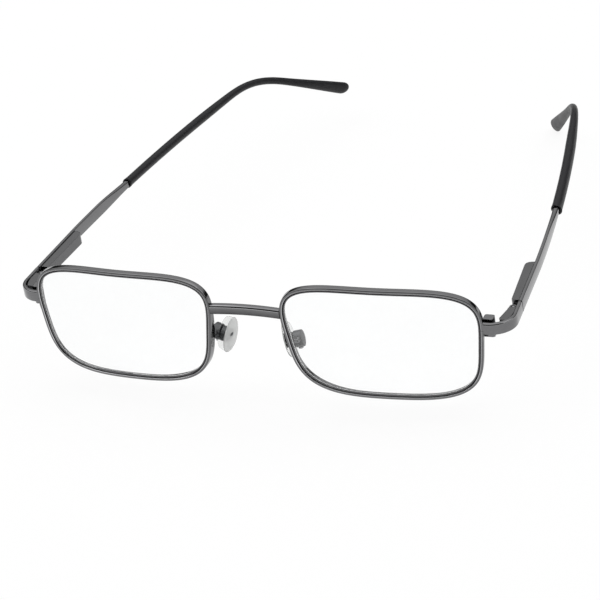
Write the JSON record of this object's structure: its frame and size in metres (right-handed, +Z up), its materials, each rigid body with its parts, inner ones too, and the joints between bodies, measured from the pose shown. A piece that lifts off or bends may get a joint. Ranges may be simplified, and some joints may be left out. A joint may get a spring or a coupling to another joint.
{
  "type": "reading glasses",
  "caption": "Metal reading glasses with full rounded rectangular rims, a flat bridge bar, clear pads on wire arms and sprung temples that fold behind the lenses.",
  "frame": {"origin": "under the middle of the bounding box, at the height of the lowest ear tip", "axes": "+Z up with the temples level, the lenses face -Y, the temples run towards +Y, +X is the side of the wearer's left eye"},
  "size_m": [0.1364, 0.157, 0.0379],
  "materials": {
    "frame_metal": "polished gunmetal plating",
    "hinge_metal": "satin gunmetal plating",
    "screw_steel": "bright steel",
    "lens": "clear polished",
    "pad_clear": "translucent soft plastic",
    "tip_plastic": "satin near-black"
  },
  "bodies": {
    "front": {"bridge": "frame_metal", "rim_left": "frame_metal", "lens_left": "lens", "endpiece_left": "frame_metal", "rim_lock_upper_left": "frame_metal", "rim_lock_lower_left": "frame_metal", "rim_screw_left": "screw_steel", "pad_box_left": "hinge_metal", "pad_screw_left": "screw_steel", "pad_arm_left": "frame_metal", "hinge_block_left": "hinge_metal", "hinge_screw_left": "screw_steel", "rim_right": "frame_metal", "lens_right": "lens", "endpiece_right": "frame_metal", "rim_lock_upper_right": "frame_metal", "rim_lock_lower_right": "frame_metal", "rim_screw_right": "screw_steel", "pad_box_right": "hinge_metal", "pad_screw_right": "screw_steel", "pad_arm_right": "frame_metal", "hinge_block_right": "hinge_metal", "hinge_screw_right": "screw_steel"},
    "carriage_left": {"hinge_carriage_left": "screw_steel", "rod_nut_left": "screw_steel", "hinge_spring_left": "screw_steel"},
    "arm_left": {"spring_housing_left": "hinge_metal", "temple_left": "frame_metal", "temple_tip_left": "tip_plastic"},
    "pad_left": {"nose_pad_left": "pad_clear"},
    "carriage_right": {"hinge_carriage_right": "screw_steel", "rod_nut_right": "screw_steel", "hinge_spring_right": "screw_steel"},
    "arm_right": {"spring_housing_right": "hinge_metal", "temple_right": "frame_metal", "temple_tip_right": "tip_plastic"},
    "pad_right": {"nose_pad_right": "pad_clear"}
  },
  "joints": [
    {"name": "fold_left", "type": "hinge", "parent": "front", "child": "carriage_left", "pos_m": [0.06574, -0.05986, 0.02419], "axis": [0, 0, 1], "range_deg": [-8, 80]},
    {"name": "spring_pull_left", "type": "slide", "parent": "carriage_left", "child": "arm_left", "axis": [-0.0872, 0.9962, 0], "range_m": [0, 0.0009], "stiffness_N_per_m": 300, "springref_m": -0.002, "deforming": ["hinge_spring_left"]},
    {"name": "pad_rock_left", "type": "hinge", "parent": "front", "child": "pad_left", "pos_m": [0.01119, -0.07118, 0.01836], "axis": [-0.2034, 0.1079, 0.9731], "range_deg": [-8, 8]},
    {"name": "fold_right", "type": "hinge", "parent": "front", "child": "carriage_right", "pos_m": [-0.06574, -0.05986, 0.02419], "axis": [0, 0, -1], "range_deg": [-8, 72]},
    {"name": "spring_pull_right", "type": "slide", "parent": "carriage_right", "child": "arm_right", "axis": [0.0872, 0.9962, 0], "range_m": [0, 0.0009], "stiffness_N_per_m": 300, "springref_m": -0.002, "deforming": ["hinge_spring_right"]},
    {"name": "pad_rock_right", "type": "hinge", "parent": "front", "child": "pad_right", "pos_m": [-0.01119, -0.07118, 0.01836], "axis": [0.2034, 0.1079, 0.9731], "range_deg": [-8, 8]}
  ]
}
